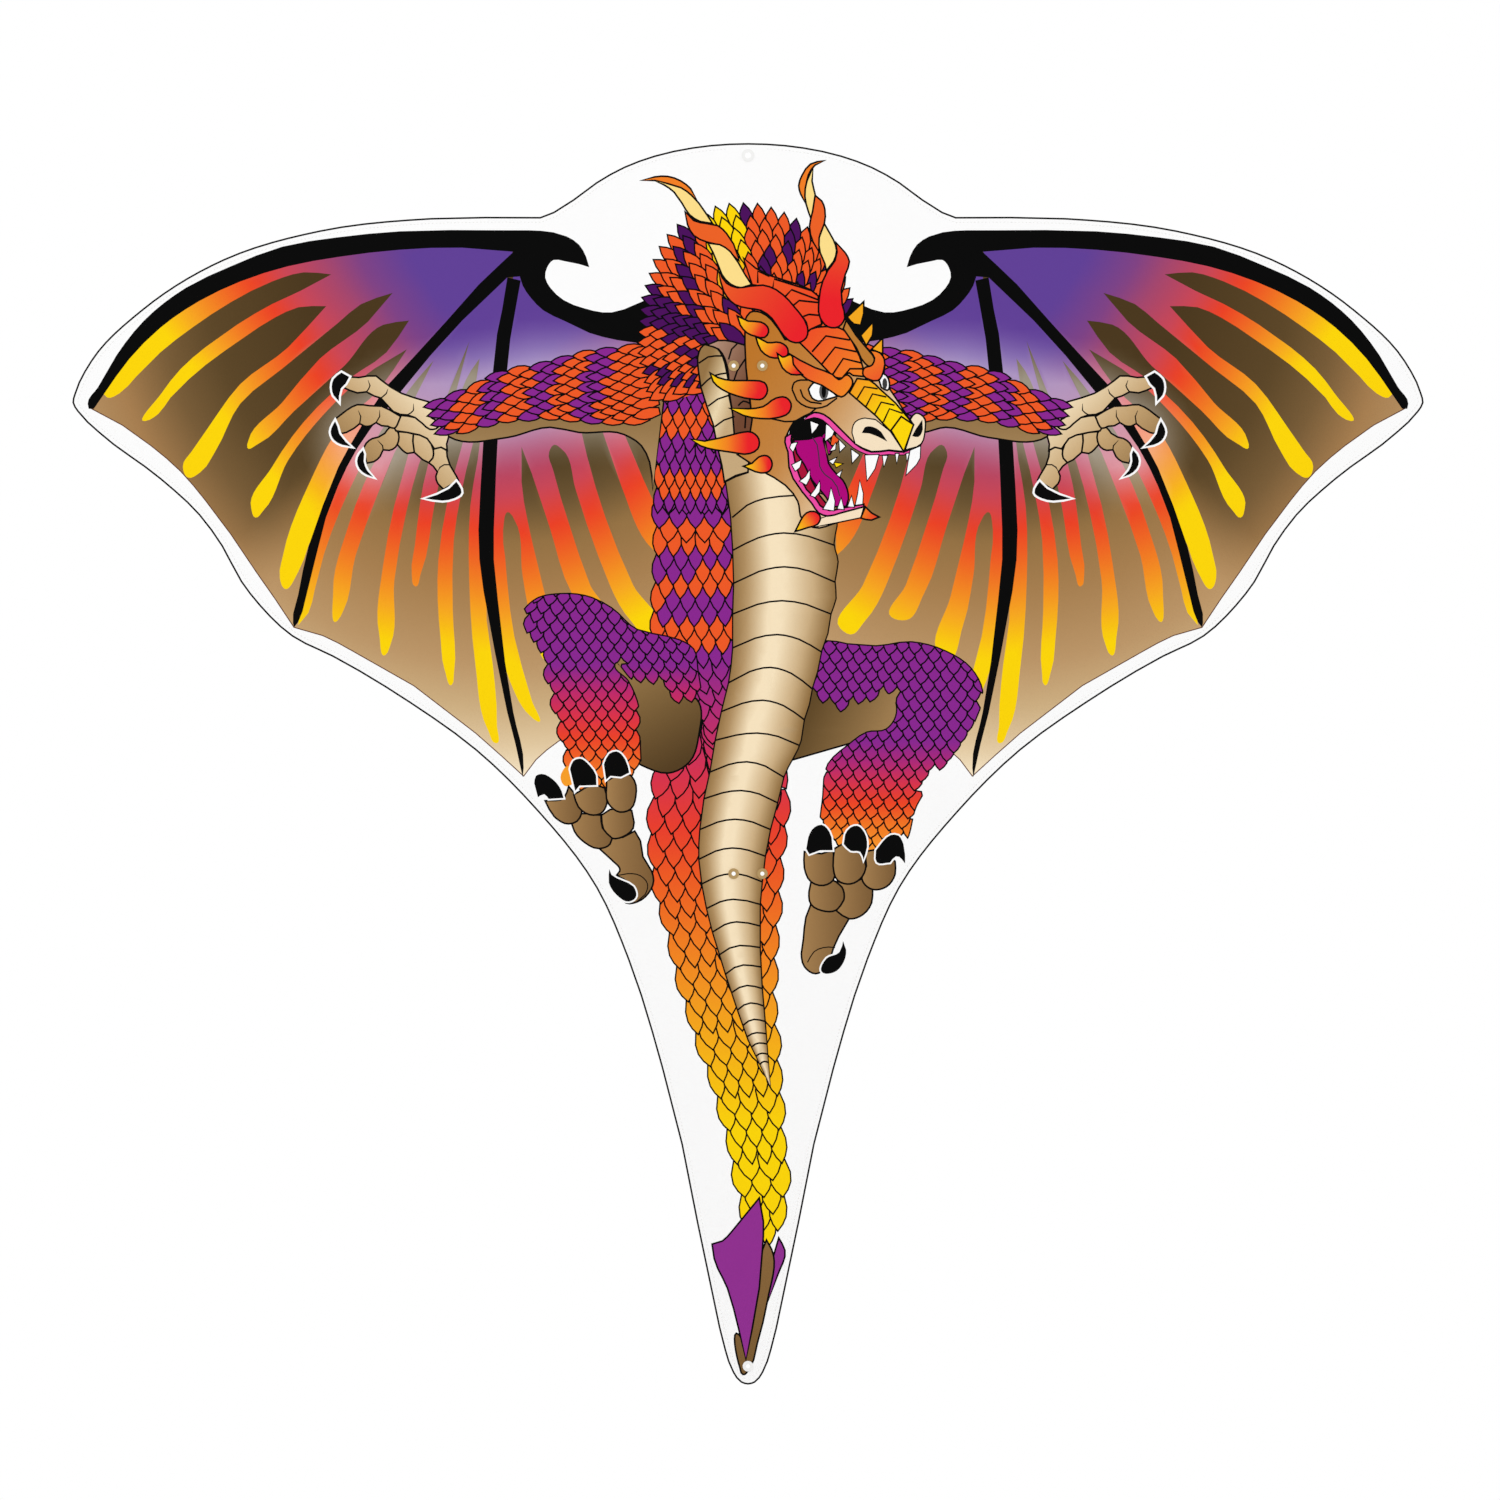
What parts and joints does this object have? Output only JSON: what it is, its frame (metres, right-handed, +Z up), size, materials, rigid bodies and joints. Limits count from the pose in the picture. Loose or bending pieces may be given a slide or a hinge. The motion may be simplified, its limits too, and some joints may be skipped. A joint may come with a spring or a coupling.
{
  "type": "delta kite",
  "caption": "Figure delta kite with a winged dragon print, folding wings, a split spine and a snap-in spreader.",
  "frame": {"origin": "centre of the nose eyelet, on the front face of the sail", "axes": "+X to the viewer's right across the span, +Y from the printed face to the frame behind, +Z up the spine towards the nose"},
  "size_m": [1.3168, 0.0602, 1.21],
  "materials": {
    "printed_cloth": "printed ripstop polyester, satin, multi-coloured dragon on white",
    "edge_tape": "white binding tape with a thin black line",
    "patch_cloth": "heavy woven reinforcing cloth, stitched",
    "sleeve_cloth": "white woven spar sleeve, stitched",
    "glass_fibre": "pultruded glass fibre, dark, satin",
    "ferrule_metal": "drawn aluminium",
    "eyelet_brass": "rolled brass",
    "vinyl": "soft black vinyl",
    "moulded_clip": "moulded black nylon"
  },
  "bodies": {
    "root": {"centre_panel": "printed_cloth", "centre_binding": "edge_tape", "nose_patch": "patch_cloth", "tail_patch": "patch_cloth", "nose_eyelet": "eyelet_brass", "tail_eyelet": "eyelet_brass", "bridle_eyelets": "eyelet_brass", "spine_upper": "glass_fibre", "spine_lower": "glass_fibre", "spine_ferrule": "ferrule_metal", "nose_cap": "vinyl", "tail_cap": "vinyl", "nose_pocket": "patch_cloth", "tail_pocket": "patch_cloth", "nose_sleeve": "sleeve_cloth", "upper_sleeve": "sleeve_cloth", "lower_sleeve": "sleeve_cloth", "spine_saddle": "moulded_clip"},
    "spreader": {"right_spreader": "glass_fibre", "left_spreader": "glass_fibre", "spreader_ferrule": "ferrule_metal", "right_spreader_cap": "vinyl", "left_spreader_cap": "vinyl"},
    "right_wing": {"right_wing_panel": "printed_cloth", "right_binding": "edge_tape", "right_inner_rod": "glass_fibre", "right_outer_rod": "glass_fibre", "right_rod_ferrule": "ferrule_metal", "right_inner_sleeve": "sleeve_cloth", "right_middle_sleeve": "sleeve_cloth", "right_outer_sleeve": "sleeve_cloth", "right_root_pocket": "patch_cloth", "right_tip_pocket": "patch_cloth", "right_root_cap": "vinyl", "right_tip_cap": "vinyl", "right_spreader_clip": "moulded_clip"},
    "left_wing": {"left_wing_panel": "printed_cloth", "left_binding": "edge_tape", "left_inner_rod": "glass_fibre", "left_outer_rod": "glass_fibre", "left_rod_ferrule": "ferrule_metal", "left_inner_sleeve": "sleeve_cloth", "left_middle_sleeve": "sleeve_cloth", "left_outer_sleeve": "sleeve_cloth", "left_root_pocket": "patch_cloth", "left_tip_pocket": "patch_cloth", "left_root_cap": "vinyl", "left_tip_cap": "vinyl", "left_spreader_clip": "moulded_clip"}
  },
  "joints": [
    {"name": "right_wing_fold", "type": "hinge", "parent": "root", "child": "right_wing", "pos_m": [0.022, 0, 0], "axis": [0, 0, -1], "range_deg": [0, 90]},
    {"name": "left_wing_fold", "type": "hinge", "parent": "root", "child": "left_wing", "pos_m": [-0.022, 0, 0], "axis": [0, 0, 1], "range_deg": [0, 90]},
    {"name": "spreader_release", "type": "slide", "parent": "root", "child": "spreader", "axis": [0, 1, 0], "range_m": [0, 0.06]}
  ]
}
